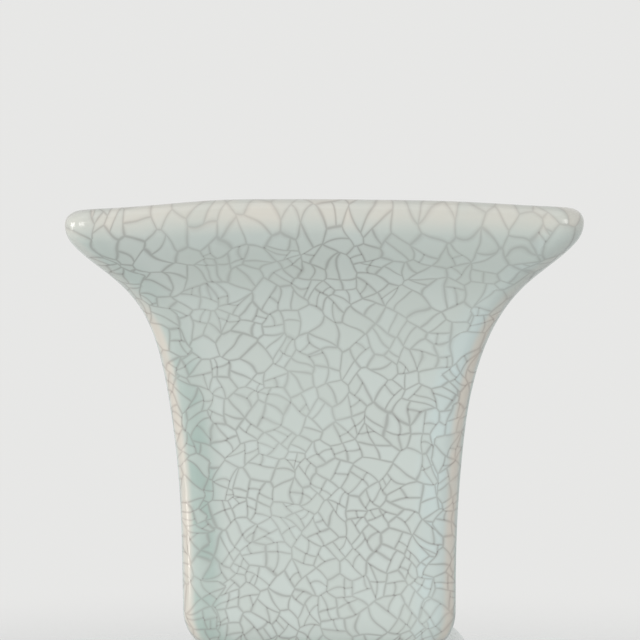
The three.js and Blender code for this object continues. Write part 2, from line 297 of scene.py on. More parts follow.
def cut_between(profile, low, high):
    """The points between two heights, with one worked out at each height that falls between two."""
    profile = profile[np.argsort(profile[:, 1], kind="stable")]
    heights = profile[:, 1]
    inside = (heights > low + SAME_HEIGHT) & (heights < high - SAME_HEIGHT)
    ends = [[np.interp(z, heights, column) for column in profile.T] for z in (low, high)]
    return np.vstack([ends[0], profile[inside], ends[1]])


def quarter_plan(corner_steps, face_steps):
    """Slide and turn of each column of a quarter ring, from the left mitre to the right one.

    A point of the plan is slide times the corner's centre plus the radius at the angle turn. Along
    the face the columns draw together towards the corners, by a share of a sine."""
    left = np.linspace(LEFT_MITRE, FACE_ANGLE, corner_steps + 1)
    even = np.linspace(-1, 1, face_steps + 1)[1:-1]
    face = (1 - COLUMN_CROWDING) * even + COLUMN_CROWDING * np.sin(even * np.pi / 2)
    right = np.linspace(FACE_ANGLE, RIGHT_MITRE, corner_steps + 1)
    slide = np.concatenate([-np.ones_like(left), face, np.ones_like(right)])
    turn = np.concatenate([left, np.full_like(face, FACE_ANGLE), right])
    return slide, turn


def quarter_rings(profile, slide, turn):
    """The front quarter of each ring, as an array of ring, column and x, y, z.

    The corner's centre lies one radius inside the half-width."""
    w, z, radius = profile[:, :1], profile[:, 1:2], profile[:, 4:5]
    centre = np.maximum(w - radius, 0)
    bend = w - centre
    x = centre * slide + bend * np.cos(turn)
    y = -centre + bend * np.sin(turn)
    return np.stack([x, y, np.broadcast_to(z, x.shape)], axis=-1)


def turned(points, quarters):
    """Points turned about the axis by whole quarters: each one makes x, y into -y, x."""
    for _ in range(quarters):
        points = np.stack([-points[..., 1], points[..., 0], points[..., 2]], axis=-1)
    return points


def strip_faces(rings, columns, closed_rings, closed_columns):
    """Four-sided faces between neighbouring rings and columns, all turned outwards."""
    i = np.arange(rings if closed_rings else rings - 1)[:, None]
    j = np.arange(columns if closed_columns else columns - 1)[None, :]
    up, across = (i + 1) % rings, (j + 1) % columns
    corners = [i * columns + j, i * columns + across, up * columns + across, up * columns + j]
    return np.stack(np.broadcast_arrays(*corners), axis=-1).reshape(-1, 4)


def new_piece(name, points, faces, smooth_degrees=None):
    """A mesh object at the origin from points and faces, smooth apart from edges over an angle."""
    mesh = bpy.data.meshes.new(name)
    mesh.from_pydata(points.reshape(-1, 3).tolist(), [], faces)
    mesh.shade_smooth()
    if smooth_degrees is not None:
        mesh.set_sharp_from_angle(angle=math.radians(smooth_degrees))
    piece = bpy.data.objects.new(name, mesh)
    scene.collection.objects.link(piece)
    return piece


# The mouth of the real vase leans a little: its corners sank, it tilts and it sits off centre.
CORNER_SINK = 1.7 * MM
SINK_DEPTH = 28 * MM
SINK_FLAT_SHARE = 0.3
MOUTH_SHIFT = 1.7 * MM
MOUTH_TILT = math.radians(0.15)
RIM_DIP = 0.3 * MM
RIM_DIP_PLACE = (16 * MM, -48 * MM)
RIM_DIP_REACH = 13 * MM
LEAN_DEPTH = 1.5 * SINK_DEPTH
HARDLY_OFF_AXIS = 1e-9
LIP_TOP_RADIUS = 3 * MM
lip_edge_z = vase_top - LIP_TOP_RADIUS


def smoothstep(low, high, value):
    """From 0 to 1 between two marks: t squared times 3 less 2 t, with t the share of the way."""
    t = np.clip((value - low) / (high - low), 0, 1)
    return t * t * (3 - 2 * t)


def settled(points):
    """The kiln's marks: each point drops by the sink's share towards the corners and near the lip.

    The rim also dips a little on the right of the front. Then the mouth shifts and tilts towards the
    right, by a share that grows with height."""
    x, y, z = points[..., 0], points[..., 1], points[..., 2]
    wide = np.maximum(np.maximum(np.abs(x), np.abs(y)), HARDLY_OFF_AXIS)
    across = smoothstep(SINK_FLAT_SHARE, 1, np.minimum(np.abs(x), np.abs(y)) / wide)
    from_dip = np.hypot(x - RIM_DIP_PLACE[0], y - RIM_DIP_PLACE[1]) / RIM_DIP_REACH
    sink = CORNER_SINK * across + RIM_DIP * np.exp(-from_dip ** 2)
    sink = sink * smoothstep(lip_edge_z - SINK_DEPTH, lip_edge_z, z)
    lean = smoothstep(lip_edge_z - LEAN_DEPTH, lip_edge_z, z)
    tilt = math.tan(MOUTH_TILT) * x * lean
    return np.stack([x + MOUTH_SHIFT * lean, y, z - sink + tilt], axis=-1)


def slab(name, outline, side):
    """One slab: its closed outline carried from mitre to mitre, with a flat cut at each end."""
    slide, turn = quarter_plan(*SLAB_COLUMNS)
    rings = settled(turned(quarter_rings(outline, slide, turn), side))
    count, columns = rings.shape[:2]
    faces = strip_faces(count, columns, True, False).tolist()
    first = (np.arange(count) * columns).tolist()
    last = (np.arange(count) * columns + columns - 1).tolist()
    return new_piece(name, rings, faces + [first, last[::-1]], SHARP_OVER_DEGREES)


def wall_share(outer, inner, share, height):
    """A point inside the wall, a share of the way from the outer to the inner clay face."""
    point = outer + share * (inner - outer)
    point[1] = height
    return point


def widened(point, distance, height=None):
    """The same point further out, at its own height or another."""
    point = point.copy()
    point[0] += distance
    if height is not None:
        point[1] = height
    return point


def clay_outside(profile):
    """The clay's outer side, one glaze thickness under the finished profile."""
    return with_radius(moved(profile, -GLAZE_THICKNESS), CORNER_RADIUS - GLAZE_THICKNESS)


def clay_inside(profile):
    """The clay's inner side. Its corners are rounder than the glaze's, by the glaze's thickness."""
    return with_radius(inner_wall(profile), INNER_CORNER_RADIUS + GLAZE_THICKNESS)


foot_clay_out = clay_outside(np.vstack([foot_edge, foot_profile[1:]]))
foot_clay_in = clay_inside(foot_profile)
floor_edge = foot_clay_out[-1].copy()
floor_edge[0] = FLOOR_HALF_WIDTH


def foot_outline():
    """Outside up, rebate for the floor, inside down, and the ring's two rounded edges."""
    outer_w, inner_w = foot_clay_out[0, 0], foot_clay_in[-1, 0]
    rounding = FOOT_RING_ROUNDING
    outer_round = arc(outer_w - rounding, rounding, rounding, -np.pi / 2, 0, RING_STEPS)
    inner_round = arc(inner_w + rounding, rounding, rounding, -np.pi, -np.pi / 2, RING_STEPS)
    inside = cut_between(foot_clay_in, foot_clay_in[-1, 1], FLOOR_UNDERSIDE)[::-1]
    rebate = widened(floor_edge, SLIP_CLEARANCE)
    return np.vstack([
        with_radius(outer_round, foot_clay_out[0, 4]),
        foot_clay_out,
        rebate, widened(rebate, 0, FLOOR_UNDERSIDE),
        inside,
        with_radius(inner_round, foot_clay_in[-1, 4]),
    ])


SPECK_EDGE = (0.1, 0.22)
SPECK_RARITY = 0.72
CLAY_BUFF = (0.52, 0.36, 0.24, 1)
CLAY_FLUSH = (0.36, 0.17, 0.075, 1)
CLAY_SPECK = (0.12, 0.07, 0.04, 1)
CLAY_ROUGHNESS = 0.82
CLAY_CLOUD_SCALE = 90.0
FLUSH_BAND = (0.6 * MM, 3.2 * MM)
FLUSH_MOST = 0.75
FLUSH_CLOUD = 0.3
SPECK_STRENGTH = 0.6
GRAIN_STRENGTH = 0.5
GRAIN_DEPTH = 0.12 * MM


def grain_group():
    """Fired clay's grain: dark specks and a fine height, both from noise at the group's scales."""
    group = bpy.data.node_groups.new("fired_grain", "ShaderNodeTree")
    face = group.interface
    face.new_socket("Place", in_out="INPUT", socket_type="NodeSocketVector")
    for label, value in (("Speck Size mm", 0.5), ("Grain Size mm", 0.18)):
        face.new_socket(label, in_out="INPUT", socket_type="NodeSocketFloat").default_value = value
    face.new_socket("Specks", in_out="OUTPUT", socket_type="NodeSocketFloat")
    face.new_socket("Height", in_out="OUTPUT", socket_type="NodeSocketFloat")
    given = add_node(group, "NodeGroupInput").outputs
    speck_scale = math_node(group, "DIVIDE", 1000.0, given["Speck Size mm"])
    grain_scale = math_node(group, "DIVIDE", 1000.0, given["Grain Size mm"])
    specks = add_node(group, "ShaderNodeTexVoronoi", {"Vector": given["Place"], "Scale": speck_scale})
    dots = ramp(group, specks.outputs["Distance"], *SPECK_EDGE, 1.0, 0.0, "LINEAR")
    rare = math_node(group, "GREATER_THAN", specks.outputs["Color"], SPECK_RARITY)
    grain = add_node(group, "ShaderNodeTexNoise", {
        "Vector": given["Place"], "Scale": grain_scale, "Detail": 3.0, "Roughness": 0.6,
    }).outputs[0]
    add_node(group, "NodeGroupOutput", {
        "Specks": math_node(group, "MULTIPLY", dots, rare), "Height": grain,
    })
    return group


fired_grain = grain_group()


def clouds(tree, place, scale, detail=2.0):
    """Soft noise from 0 to 1 over a place."""
    return add_node(tree, "ShaderNodeTexNoise", {
        "Vector": place, "Scale": scale, "Detail": detail,
    }).outputs[0]


def choose_colour(tree, share, zero, one):
    """Mixes two colours by a share, which may be a value from 0 to 1 or a link."""
    return add_node(tree, "ShaderNodeMix", {0: share, "A": zero, "B": one}, data_type="RGBA").outputs[2]


def clay_material():
    """Bare stoneware: pinkish buff, flushed orange-brown in a band under the edge of the glaze."""
    material, tree = new_material("bare stoneware")
    place = add_node(tree, "ShaderNodeTexCoord").outputs["Object"]
    grain = add_node(tree, "ShaderNodeGroup", {"Place": place}, node_tree=fired_grain).outputs
    cloud = clouds(tree, place, CLAY_CLOUD_SCALE, 4.0)
    height = add_node(tree, "ShaderNodeSeparateXYZ", {0: place}).outputs["Z"]
    flush = ramp(tree, height, *FLUSH_BAND, 0.0, FLUSH_MOST)
    flush = math_node(tree, "ADD", flush, math_node(tree, "MULTIPLY", cloud, FLUSH_CLOUD), clamp=True)
    specks = math_node(tree, "MULTIPLY", grain["Specks"], SPECK_STRENGTH)
    body = choose_colour(tree, flush, CLAY_BUFF, CLAY_FLUSH)
    body = choose_colour(tree, specks, body, CLAY_SPECK)
    bump = add_node(tree, "ShaderNodeBump", {
        "Height": grain["Height"], "Strength": GRAIN_STRENGTH, "Distance": GRAIN_DEPTH,
    })
    surface = add_node(tree, "ShaderNodeBsdfPrincipled", {
        "Base Color": body, "Roughness": CLAY_ROUGHNESS, "Normal": bump.outputs[0],
    })
    add_node(tree, "ShaderNodeOutputMaterial", {"Surface": surface.outputs[0]})
    return material


stoneware = clay_material()


def four_slabs(section, outline):
    """The section's slab on each side in turn, luted into the one rigid body."""
    for side, word in enumerate(SIDES):
        piece = slab(f"{section}_slab_{word}", outline, side)
        piece.data.materials.append(stoneware)
        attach(piece, "root")
        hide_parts(f"{section}_wall_{word}")


four_slabs("foot", foot_outline())


# Floor: a flat stoneware plate with rounded corners, laid in the rebate of the foot walls while
# leather hard. The belly walls stand on its edge, and both glaze coats hide it.
PLATE_COLUMNS = (8, 4)
PLATE_RINGS = 3


def all_round(quarter):
    """The front quarter of each ring turned four times, each time without its last column."""
    return np.concatenate([turned(quarter, k)[:, :-1] for k in range(4)], axis=1)


def build_floor_plate():
    """The rebate's ring at a few heights, with one flat face across its top and bottom."""
    slide, turn = quarter_plan(*PLATE_COLUMNS)
    heights = np.linspace(FLOOR_UNDERSIDE, FOOT_HEIGHT, PLATE_RINGS)
    edge = np.tile(floor_edge, (len(heights), 1))
    edge[:, 1] = heights
    ring = all_round(quarter_rings(edge, slide, turn))
    count, columns = ring.shape[:2]
    faces = strip_faces(count, columns, False, True).tolist()
    faces.append(list(range(columns))[::-1])
    faces.append(list(range((count - 1) * columns, count * columns)))
    plate = new_piece("floor_plate", ring, faces, SHARP_OVER_DEGREES)
    plate.data.materials.append(stoneware)
    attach(plate, "root")
    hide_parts("floor_slab")


build_floor_plate()


# Belly walls: four slabs bent into a drum between the two grooves, mitred and luted. A low
# upstand along their top edge keys into the neck and follows the start of its inner side.
BELLY_WIDTH = 71 * MM
BELLY_WIDEST_SHARE = 0.49
UPPER_GROOVE_WIDTH = 50 * MM
NECK_WIDTH = 56.4 * MM
NECK_BASE_HEIGHT = 8.5 * MM
JOINT_SHARE = 0.5
BELLY_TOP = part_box("neck_wall_front")[0][2]
UPSTAND_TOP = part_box("belly_wall_front")[1][2]

belly_widest = (BELLY_WIDTH / 2, FOOT_HEIGHT + BELLY_WIDEST_SHARE * (BELLY_TOP - FOOT_HEIGHT))
upper_groove = (UPPER_GROOVE_WIDTH / 2, BELLY_TOP)
neck_base = (NECK_WIDTH / 2, BELLY_TOP + NECK_BASE_HEIGHT)
belly_profile = np.vstack([
    ogee(LOWER_GROOVE_WIDTH / 2, FOOT_HEIGHT, *belly_widest), ogee(*belly_widest, *upper_groove)[1:],
])
neck_foot = ogee(*upper_groove, *neck_base)
belly_clay_out = clay_outside(belly_profile)
belly_clay_in = clay_inside(np.vstack([belly_profile, neck_foot[1:]]))
joint_middle = wall_share(
    belly_clay_out[-1], cut_between(belly_clay_in, BELLY_TOP, UPSTAND_TOP)[0], JOINT_SHARE, BELLY_TOP,
)


def belly_outline():
    """Outside up, over the upstand, and the inside down to the floor."""
    step = widened(joint_middle, -SLIP_CLEARANCE / 2)
    inside = cut_between(belly_clay_in, FOOT_HEIGHT, UPSTAND_TOP)[::-1]
    return np.vstack([belly_clay_out, step, widened(step, 0, UPSTAND_TOP), inside])


four_slabs("belly", belly_outline())


# Neck walls: four tall slabs that stand upright above the groove and curve out into the mouth,
# where they end in a rounded lip. A rebate in their lower edge fits over the belly's upstand.
MOUTH_WIDTH = 100 * MM
MOUTH_FLARE_DEGREES = 38
MOUTH_STRAIGHT_SHARE = 0.909
MOUTH_FLARE_SHARE = 0.169
LIP_UNDERSIDE_RADIUS = 6.3 * MM
MOUTH_INSIDE_SHARE = 0.62
LIP_TOP_HANDLE = 4 * MM
LIP_WALL_HANDLE = 5 * MM
NECK_OUTSIDE_STEPS = 60
NECK_INSIDE_STEPS = 40
LIP_STEPS = 14
LIP_INSIDE_STEPS = 24

mouth_half = MOUTH_WIDTH / 2
mouth_curve = flare(
    neck_base, (mouth_half, lip_edge_z), LIP_UNDERSIDE_RADIUS,
    MOUTH_FLARE_DEGREES, MOUTH_STRAIGHT_SHARE, MOUTH_FLARE_SHARE,
)
neck_profile = np.vstack([neck_foot, bezier(mouth_curve, NECK_OUTSIDE_STEPS)[1:]])
lip_profile = np.vstack([
    arc(mouth_half - LIP_UNDERSIDE_RADIUS, lip_edge_z, LIP_UNDERSIDE_RADIUS,
        -math.radians(MOUTH_FLARE_DEGREES), 0, LIP_STEPS),
    arc(mouth_half - LIP_TOP_RADIUS, lip_edge_z, LIP_TOP_RADIUS, 0, np.pi / 2, LIP_STEPS)[1:],
])
neck_inside = np.vstack([neck_foot, bezier(mouth_curve, NECK_INSIDE_STEPS, MOUTH_INSIDE_SHARE)[1:]])


def lip_inside():
    """The clay from the top of the lip into the mouth: a cubic curve, level at first.

    It ends on the inner wall, along the wall's own slope."""
    w, z, normal_w, normal_z = inner_wall(neck_inside)[0]
    top = np.array([mouth_half - LIP_TOP_RADIUS, vase_top - GLAZE_THICKNESS])
    along = np.array([normal_z, -normal_w])
    end = np.array([w, z])
    handles = [top - [LIP_TOP_HANDLE, 0], end + LIP_WALL_HANDLE * along]
    return bezier([top, *handles, end], LIP_INSIDE_STEPS)


neck_clay_out = clay_outside(np.vstack([neck_profile, lip_profile[1:]]))
neck_clay_in = clay_inside(neck_inside)
lip_clay_in = with_radius(
    lip_inside(), np.linspace(neck_clay_out[-1, 4], neck_clay_in[0, 4], LIP_INSIDE_STEPS + 1),
)[1:-1]


def neck_outline():
    """Outside up, over the lip, the inside down, and the rebate at the lower edge."""
    roof = UPSTAND_TOP + SLIP_CLEARANCE
    step = widened(joint_middle, SLIP_CLEARANCE / 2, roof)
    inside = cut_between(neck_clay_in, roof, neck_clay_in[0, 1])[::-1]
    return np.vstack([neck_clay_out, lip_clay_in, inside, step, widened(step, 0, BELLY_TOP)])


four_slabs("neck", neck_outline())


# Main glaze: one thick celadon coat over the outside, the lip, the inside and the floor. It runs
# thin and cream on the lip and corners, pools blue-green beside them, and is crazed all over.
# Beside the corners the pooled band carries painted shade on the left of each side and a pale
# bluish painted sheen on the right of each side.
FLOOR_FILLET = 2.4 * MM
GLAZE_EDGE_RISE = 1.3 * MM
GLAZE_EDGE_WAVE = 0.3 * MM
GLAZE_EDGE_RAISE = 0.6
GLAZE_EDGE_REACH = 7 * MM
GLAZE_SWELL = 0.09 * MM
GLAZE_BACK_SHARE = 0.97
GLAZE_COLUMNS = (9, 24)
EDGE_RINGS = 8
EDGE_DEPTHS = (0.02, 0.9)
EDGE_WAVES = ((1, 3, 0.7), (0.6, 8, 2.1), (0.4, 17, 0))
FILLET_STEPS = 10
FLAT_RINGS = 12
AXIS_GAP = 0.2 * MM
LEAST_CORNER_RADIUS = 0.1 * MM
CRAZE_LIP_SHARE = 0.64
CRAZE_LIP_HEIGHT = 7.5 * MM
CREST_SPREAD = (0.35, 0.9)
CREST_FADE = (163 * MM, 176 * MM)
CREST_LOSS = 0.75
POOL_SPREAD = (1.04 * MM, 5.2 * MM)
# Beside the corners the glaze gathers on both sides. The left of each side is darker with painted shade,
# and the right gets a pale bluish painted sheen.
LEFT_POOL_AND_SHADE_FADE = (142 * MM, 168 * MM)
POOL_AND_SHADE_LEFT, POOL_AND_SHADE_LEFT_LOSS = 1.1, 0.8
POOL_SHEEN_RIGHT, POOL_SHEEN_RIGHT_LOSS = 0.75, 0.55
POOL_INNER_CORNER, POOL_INNER_SIDE = 0.8, 0.5
LIP_THIN_HEIGHT = 7.5 * MM
LIP_THINNESS = 0.66
GROOVE_REACH = (1 * MM, 4 * MM)
GROOVE_POOL, GROOVE_THIN_LOSS = 0.9, 0.8


def rounded_edge(clay_w, edge_z, side):
    """The glaze's lower edge: a quarter ellipse from the clay out to the full thickness."""
    angle = np.linspace(-np.pi / 2, 0, EDGE_RINGS + 1)[:-1, None]
    normal = np.hstack([side * np.cos(angle), np.sin(angle)])
    reach = clay_w + side * GLAZE_THICKNESS * np.cos(angle)
    return np.hstack([reach, edge_z + GLAZE_EDGE_RISE * (1 + np.sin(angle)), normal])


def fillet_and_flat(corner_w, flat_z, up):
    """A quarter round of the fillet's radius where a wall meets a flat, and the flat to the axis.

    up is 1 for a floor and -1 for a ceiling."""
    angle = np.linspace(0, np.pi / 2, FILLET_STEPS + 1)[:, None]
    inward = np.hstack([-np.cos(angle), up * np.sin(angle)])
    centre = np.array([corner_w - FLOOR_FILLET, flat_z + up * FLOOR_FILLET])
    fillet = np.hstack([centre - FLOOR_FILLET * inward, inward])
    flat_w = np.linspace(corner_w - FLOOR_FILLET, AXIS_GAP, FLAT_RINGS)[1:]
    flat = np.column_stack(np.broadcast_arrays(flat_w, flat_z, 0, up))
    return np.vstack([fillet, flat])


def main_coat_path():
    """The coat's finished surface, from its lower edge over the lip to the middle of the floor."""
    floor_z = FOOT_HEIGHT + GLAZE_THICKNESS
    inner = moved(inner_wall(np.vstack([belly_profile, neck_inside[1:]])), GLAZE_THICKNESS)
    inner = inner[inner[:, 1] > floor_z + FLOOR_FILLET]
    rest = np.vstack([inner[:-1], fillet_and_flat(inner[-1, 0], floor_z, 1)])
    lip = moved(lip_inside(), GLAZE_THICKNESS)
    lip = with_radius(lip, np.linspace(CORNER_RADIUS, INNER_CORNER_RADIUS, len(lip)))[1:-1]
    edge = rounded_edge(FOOT_WIDTH / 2 - GLAZE_THICKNESS, BARE_FOOT_HEIGHT, 1)
    outside = np.vstack([
        edge, foot_edge, foot_profile[1:], belly_profile[1:], neck_profile[1:], lip_profile[1:],
    ])
    return np.vstack([with_radius(outside, CORNER_RADIUS), lip, with_radius(rest, INNER_CORNER_RADIUS)])


def path_length(path):
    """How far each point lies along its profile, with short steps on the lip.

    The crackle follows this length, so on the lip its cells draw out into upright ones."""
    step = np.linalg.norm(np.diff(path[:, :2], axis=0), axis=1)
    near_lip = smoothstep(lip_edge_z - CRAZE_LIP_HEIGHT, lip_edge_z - CRAZE_LIP_HEIGHT / 3, path[1:, 1])
    return np.concatenate([[0], np.cumsum(step * (1 - (1 - CRAZE_LIP_SHARE) * near_lip))])


def way_around(path, slide, turn):
    """How far each point lies from its corner's mitre, along the ring: less than nothing before it.

    On the bend it is the radius times the angle, and the straight half of the face adds to it."""
    w, radius = path[:, :1], path[:, 4:5]
    centre = np.maximum(w - radius, 0)
    bend = w - centre
    from_face = np.abs(turn - FACE_ANGLE)
    reach = bend * (HALF_CORNER - from_face) + centre * (1 - np.abs(slide))
    return reach * np.where(slide <= 0, 1, -1)


def quarter_normals(profile, turn):
    """The normal of each point: level part along the column's turn, upright part from the profile."""
    level, upright = profile[:, 2:3], profile[:, 3:4]
    parts = [level * np.cos(turn), level * np.sin(turn), upright]
    return np.stack(np.broadcast_arrays(*parts), axis=-1)


main_path = main_coat_path()
LIP_RUN = float(path_length(main_path)[np.argmax(main_path[:, 1])])


def swell(points):
    """Slow hand-made waves of the surface: a sum of sines of x, y and height, from -1 to 1.

    The factors are radians per millimetre, and the last number of each sine is its phase."""
    x, y, z = (points[..., k] / MM for k in range(3))
    waves = [
        np.sin(0.11 * x + 0.05 * z + 0.4) * np.sin(0.09 * y - 0.07 * z + 1.1),
        np.sin(0.07 * x - 0.13 * y + 0.09 * z + 2.3),
        np.sin(0.19 * z + 0.05 * x + 0.06 * y + 0.8),
        0.6 * np.sin(0.23 * x + 0.17 * y - 0.21 * z + 4.0),
    ]
    return sum(waves) / 3.6


def thin_pool_and_painted_light(path, slide, turn):
    """Where the glaze runs thin, from 0 to 1, and where it gathers, from -1 to 1, with painted light.

    It leaves outer corners and the lip and gathers beside them, in grooves and in inner corners.
    Beside the outer corners the gathering is darker on the left of each side with painted shade,
    and less than nothing stands for a pale bluish painted sheen on the right of each side."""
    w, z, radius = path[:, :1], path[:, 1:2], path[:, 4:5]
    from_face = np.abs(turn - FACE_ANGLE) / HALF_CORNER
    crest = smoothstep(*CREST_SPREAD, from_face)
    beside = (1 - np.abs(slide)) * np.maximum(w - radius, 0)
    gathered_with_painted_light = (1 - smoothstep(*POOL_SPREAD, beside)) * (1 - crest)
    in_flare = smoothstep(*CREST_FADE, z)
    crest = crest * (1 - CREST_LOSS * in_flare)
    # Painted light: the left of each side is darker, as painted shade on the pooling, and the right
    # turns to a pale bluish painted sheen.
    left_pool_and_shade = POOL_AND_SHADE_LEFT - POOL_AND_SHADE_LEFT_LOSS * smoothstep(*LEFT_POOL_AND_SHADE_FADE, z)
    right_pool_sheen = -POOL_SHEEN_RIGHT * (1 - POOL_SHEEN_RIGHT_LOSS * in_flare)
    gathered_with_painted_light = gathered_with_painted_light * np.where(slide > 0, right_pool_sheen, left_pool_and_shade)
    outside = np.arange(len(path))[:, None] <= np.argmax(path[:, 1])
    lip = smoothstep(vase_top - LIP_THIN_HEIGHT, vase_top - LIP_THIN_HEIGHT / 3, z)
    thin = np.maximum(crest * outside, LIP_THINNESS * lip)
    inner_pool = np.maximum(POOL_INNER_CORNER * crest, POOL_INNER_SIDE * np.abs(gathered_with_painted_light))
    pool_and_painted_light = np.where(outside, gathered_with_painted_light * (1 - lip), inner_pool)
    near = np.minimum(np.abs(z - FOOT_HEIGHT), np.abs(z - BELLY_TOP))
    in_groove = (1 - smoothstep(*GROOVE_REACH, near)) * outside
    thin = thin * (1 - GROOVE_THIN_LOSS * in_groove)
    return thin, pool_and_painted_light + (GROOVE_POOL - pool_and_painted_light) * in_groove


def coat(name, path, thickness, edge_first):
    """A closed skin: the finished path and the same path one thickness deeper, all the way round.

    The two run into each other at the lower edge, and each closes on the axis in a fan. The hidden
    path keeps every second ring, and all those at the lower edge."""
    slide, turn = quarter_plan(*GLAZE_COLUMNS)
    back = path.copy()
    back[:, :2] -= thickness[:, None] * path[:, 2:4]
    back[:, 4] = np.maximum(path[:, 4] - thickness * path[:, 2], LEAST_CORNER_RADIUS)
    kept = np.arange(len(path)) % 2 == 0
    kept[[0, -1]] = True
    kept[thickness < thickness.max()] = True
    back = back[kept]
    front = all_round(quarter_rings(path, slide, turn))
    front = front + GLAZE_SWELL * swell(front)[..., None] * all_round(quarter_normals(path, turn))
    behind = all_round(quarter_rings(back, slide, turn))
    masks = [*thin_pool_and_painted_light(path, slide, turn), way_around(path, slide, turn)]
    masks = [np.tile(mask[:, :-1], 4) for mask in masks]
    masks.append(np.repeat(path_length(path)[:, None], front.shape[1], axis=1))
    sheets = [behind[::-1], front] if edge_first else [front, behind[::-1]]
    rings = np.concatenate(sheets)
    blank = np.zeros(behind.shape[:2])
    fields = [np.concatenate([blank, mask] if edge_first else [mask, blank]) for mask in masks]
    foot_share = 1 - smoothstep(BARE_FOOT_HEIGHT, BARE_FOOT_HEIGHT + GLAZE_EDGE_REACH, rings[..., 2])
    bearing = np.arctan2(rings[..., 1], rings[..., 0])
    wave = sum(size * np.sin(turns * bearing + phase) for size, turns, phase in EDGE_WAVES)
    rings[..., 2] += GLAZE_EDGE_WAVE * foot_share * (GLAZE_EDGE_RAISE + wave / 2)
    count, columns = rings.shape[:2]
    faces = strip_faces(count, columns, False, True).tolist()
    poles = np.array([[0, 0, rings[0, 0, 2]], [0, 0, rings[-1, 0, 2]]])
    here = np.arange(columns)
    across = np.roll(here, -1)
    first_pole, last_pole = np.full(columns, count * columns), np.full(columns, count * columns + 1)
    last = (count - 1) * columns
    faces += np.column_stack([first_pole, across, here]).tolist()
    faces += np.column_stack([last + here, last + across, last_pole]).tolist()
    piece = new_piece(name, settled(np.vstack([rings.reshape(-1, 3), poles])), faces)
    for label, field in zip(("thin", "pool_and_painted_light", "around", "run"), fields):
        attribute = piece.data.attributes.new(label, "FLOAT", "POINT")
        values = np.concatenate([field.reshape(-1), [field[0, 0], field[-1, 0]]])
        attribute.data.foreach_set("value", values.astype(np.float32))
    return piece


def coat_thickness(path, edge_first):
    """The back's depth: nearly the glaze's own, running out to nothing at the lower edge."""
    depth = np.full(len(path), GLAZE_BACK_SHARE * GLAZE_THICKNESS)
    edge = np.linspace(*EDGE_DEPTHS, EDGE_RINGS) * GLAZE_THICKNESS
    if edge_first:
        depth[:EDGE_RINGS] = edge
    else:
        depth[-EDGE_RINGS:] = edge[::-1]
    return depth


# The crackle: offsets keep the nets of the sides and corners apart, angles are radians, and
# fineness adds to the chance of each cut. Lip cells have a reach and a fineness, and lower cells
# two distances from the lip and the fineness at each.
NET_ANGLE = 0.6
BEND_GAIN = 4
NET_RANDOMNESS = 0.8
SIDE_OFFSETS = (1.85, 0.74)
CORNER_OFFSETS = (4.07, 8.51, 37.0)
CORNER_NET_STOP = 6 * MM
DENSITY_SCALE = 60.0
DENSITY_WEIGHT = 0.45
LIP_CELLS = (7 * MM, -0.38)
LOWER_CELLS = (5 * MM, 85 * MM, -0.14, 0.26)
FAR_EDGE_SHARE = 0.6
CELL_WIDTH_SHARE = 0.28
CUT_CHANCES = (0.88, 0.42, 0.0)
FIRST_TURN, LATER_TURN = 0.4, 0.6
CUT_BOW = 0.3
CUT_SHIFT = 0.3
ROOM_TO_CUT = 1.1 * MM
TINT_DRAW = 77.0


